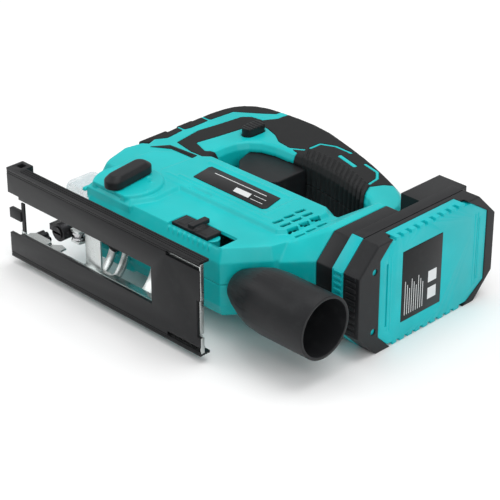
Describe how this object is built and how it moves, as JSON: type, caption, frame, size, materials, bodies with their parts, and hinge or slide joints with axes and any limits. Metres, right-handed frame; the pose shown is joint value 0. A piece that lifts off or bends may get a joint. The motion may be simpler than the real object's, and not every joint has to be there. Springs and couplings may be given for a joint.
{
  "type": "cordless jigsaw",
  "caption": "Cordless jigsaw lying on its side: closed handle, two-part housing, tilting shoe with open window, dust tube and clip-on battery.",
  "frame": {"origin": "centre of the length and height of the tool, on the surface it lies on", "axes": "+X from the shoe front to the battery, +Y from the sole to the handle, +Z from the right side up to the left side"},
  "size_m": [0.253, 0.223, 0.076],
  "materials": {
    "teal_shell": "fine moulded texture",
    "soft_grip": "soft moulded grip",
    "black_plastic": "fine moulded texture",
    "plate_black": "printed plate, satin",
    "label_black": "printed film",
    "pack_teal": "fine moulded texture",
    "pack_black": "fine moulded texture",
    "clear_guard": "clear, polished",
    "screw_steel": "black oxide",
    "cast_frame": "as die-cast",
    "bushing_bronze": "oiled",
    "bearing_steel": "ground",
    "can_steel": "zinc plated",
    "ferrite": "sintered",
    "phenolic": "moulded",
    "carbon": "pressed",
    "shaft_steel": "ground",
    "winding_copper": "enamelled",
    "fan_plastic": "moulded",
    "gear_steel": "oiled",
    "blackened_steel": "black oxide",
    "spring_steel": "drawn",
    "lens": "polished",
    "shoe_steel": "zinc plated",
    "cover_black": "satin moulded",
    "cell_wrap": "shrink wrap",
    "board_green": "solder mask"
  },
  "bodies": {
    "tool": {"left_housing": "teal_shell", "right_housing": "teal_shell", "left_grip_cover": "soft_grip", "right_grip_cover": "soft_grip", "left_name_plate": "plate_black", "right_name_plate": "plate_black", "housing_screws": "screw_steel", "foot_frame": "black_plastic", "gear_frame": "cast_frame", "gear_shaft": "shaft_steel", "plunger_bushes": "bushing_bronze", "front_motor_bearing": "bearing_steel", "rear_motor_bearing": "bearing_steel", "motor_can": "can_steel", "motor_magnets": "ferrite", "brush_plate": "phenolic", "carbon_brushes": "carbon", "fork_pin": "shaft_steel", "trigger_switch": "black_plastic", "work_light": "lens", "terminal_block": "black_plastic", "bevel_bolt": "screw_steel"},
    "guard": {"blade_guard": "clear_guard"},
    "rotor": {"motor_shaft": "shaft_steel", "armature": "winding_copper", "commutator": "winding_copper", "cooling_fan": "fan_plastic", "pinion": "gear_steel"},
    "drive": {"drive_gear": "gear_steel", "crank_pin": "shaft_steel", "counterweight": "gear_steel"},
    "ram": {"plunger": "shaft_steel", "scotch_yoke": "gear_steel", "blade_clamp_body": "blackened_steel"},
    "clamp_ring": {"blade_clamp_collar": "blackened_steel", "clamp_spring": "spring_steel"},
    "fork": {"roller_fork": "shoe_steel", "roller_pin": "shaft_steel"},
    "roller": {"guide_roller": "bearing_steel"},
    "selector": {"selector_lever": "black_plastic", "selector_shaft": "shaft_steel"},
    "trigger": {"trigger": "black_plastic"},
    "lock_off": {"lock_off_button": "black_plastic"},
    "blower": {"blower_slider": "black_plastic"},
    "dust_port": {"dust_tube": "black_plastic"},
    "shoe": {"shoe_plate": "shoe_steel", "shoe_cover": "cover_black", "cut_line_pointer": "black_plastic", "bevel_saddle": "shoe_steel"},
    "left_knob": {"left_fence_knob": "black_plastic"},
    "right_knob": {"right_fence_knob": "black_plastic"},
    "battery": {"pack_front_case": "pack_teal", "pack_top_case": "pack_black", "pack_rear_case": "pack_teal", "pack_bumper": "pack_black", "pack_label": "label_black", "pack_cells": "cell_wrap", "pack_board": "board_green"},
    "latch": {"pack_latch_button": "pack_black", "pack_latch_spring": "spring_steel"}
  },
  "joints": [
    {"name": "gear_spin", "type": "hinge", "parent": "tool", "child": "drive", "pos_m": [-0.05945, -0.0417, 0.038], "axis": [1, 0, 0], "continuous": true},
    {"name": "motor_spin", "type": "hinge", "parent": "tool", "child": "rotor", "pos_m": [-0.01145, -0.0165, 0.038], "axis": [1, 0, 0], "continuous": true},
    {"name": "plunger_stroke", "type": "slide", "parent": "tool", "child": "ram", "axis": [0, 1, 0], "range_m": [0, 0.02]},
    {"name": "clamp_turn", "type": "hinge", "parent": "ram", "child": "clamp_ring", "pos_m": [-0.08045, -0.1015, 0.038], "axis": [0, 1, 0], "range_deg": [0, 35], "stiffness_Nm_per_rad": 0.02},
    {"name": "fork_swing", "type": "hinge", "parent": "tool", "child": "fork", "pos_m": [-0.05945, -0.0785, 0.038], "axis": [0, 0, 1], "range_deg": [0, 3]},
    {"name": "roller_spin", "type": "hinge", "parent": "fork", "child": "roller", "pos_m": [-0.06925, -0.0995, 0.038], "axis": [0, 0, 1], "continuous": true},
    {"name": "selector_turn", "type": "hinge", "parent": "tool", "child": "selector", "pos_m": [-0.06195, -0.0615, 0.068], "axis": [0, 0, 1], "range_deg": [-75, 0]},
    {"name": "trigger_pull", "type": "slide", "parent": "tool", "child": "trigger", "axis": [0, 1, 0], "range_m": [0, 0.006], "stiffness_N_per_m": 900},
    {"name": "lock_off_push", "type": "slide", "parent": "tool", "child": "lock_off", "axis": [0, 0, -1], "range_m": [0, 0.004], "stiffness_N_per_m": 800},
    {"name": "blower_slide", "type": "slide", "parent": "tool", "child": "blower", "axis": [1, 0, 0], "range_m": [0, 0.011]},
    {"name": "dust_port_pull", "type": "slide", "parent": "tool", "child": "dust_port", "axis": [1, 0, 0], "range_m": [0, 0.04]},
    {"name": "guard_pull", "type": "slide", "parent": "tool", "child": "guard", "axis": [-1, 0, 0], "range_m": [0, 0.008]},
    {"name": "shoe_tilt", "type": "hinge", "parent": "tool", "child": "shoe", "pos_m": [-0.03645, -0.1115, 0.038], "axis": [1, 0, 0], "range_deg": [-45, 45]},
    {"name": "left_knob_turn", "type": "hinge", "parent": "shoe", "child": "left_knob", "pos_m": [-0.10895, -0.1015, 0.058], "axis": [0, 1, 0], "range_deg": [-170, 170]},
    {"name": "right_knob_turn", "type": "hinge", "parent": "shoe", "child": "right_knob", "pos_m": [-0.10895, -0.1015, 0.018], "axis": [0, 1, 0], "range_deg": [-170, 170]},
    {"name": "battery_slide", "type": "slide", "parent": "tool", "child": "battery", "axis": [0, 1, 0], "range_m": [0, 0.07]},
    {"name": "latch_push", "type": "slide", "parent": "battery", "child": "latch", "axis": [1, 0, 0], "range_m": [0, 0.002], "stiffness_N_per_m": 2500}
  ],
  "couplings": [
    {"joint": "motor_spin", "follows": "gear_spin", "ratio": -6}
  ]
}
